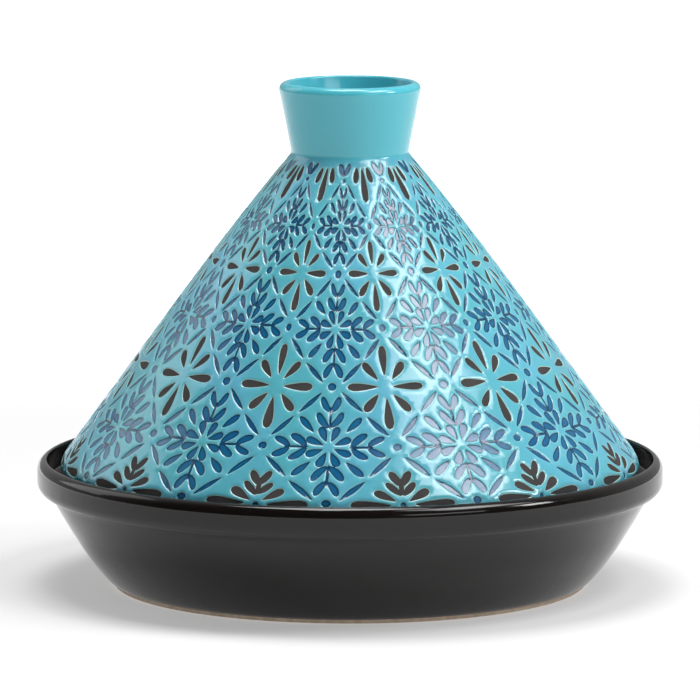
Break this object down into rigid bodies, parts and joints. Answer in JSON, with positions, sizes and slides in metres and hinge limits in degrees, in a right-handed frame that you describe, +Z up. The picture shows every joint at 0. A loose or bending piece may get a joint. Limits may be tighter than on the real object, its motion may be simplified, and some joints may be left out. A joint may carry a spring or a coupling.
{
  "type": "tagine pot",
  "caption": "Glazed stoneware tagine: a shallow rimmed dish and a tall conical lid with a hollow neck that lifts off to serve and keeps steam in while food cooks.",
  "frame": {"origin": "centre of the foot's resting plane, on the axis of both pieces", "axes": "+Z up along the axis of the dish and lid; the pot is turned about Z, so X and Y are alike"},
  "size_m": [0.285, 0.285, 0.2292],
  "materials": {
    "dark_glaze": "brown-black satin gloss glaze, bare buff clay on the foot",
    "turquoise_glaze": "glossy turquoise glaze over a pressed pattern, with blue glaze and matt brown in the hollows"
  },
  "bodies": {
    "dish": {"base_dish": "dark_glaze"},
    "cover": {"lid": "turquoise_glaze"}
  },
  "joints": [
    {"name": "lid_lift", "type": "slide", "parent": "dish", "child": "cover", "axis": [0, 0, 1], "range_m": [0, 0.16]}
  ]
}
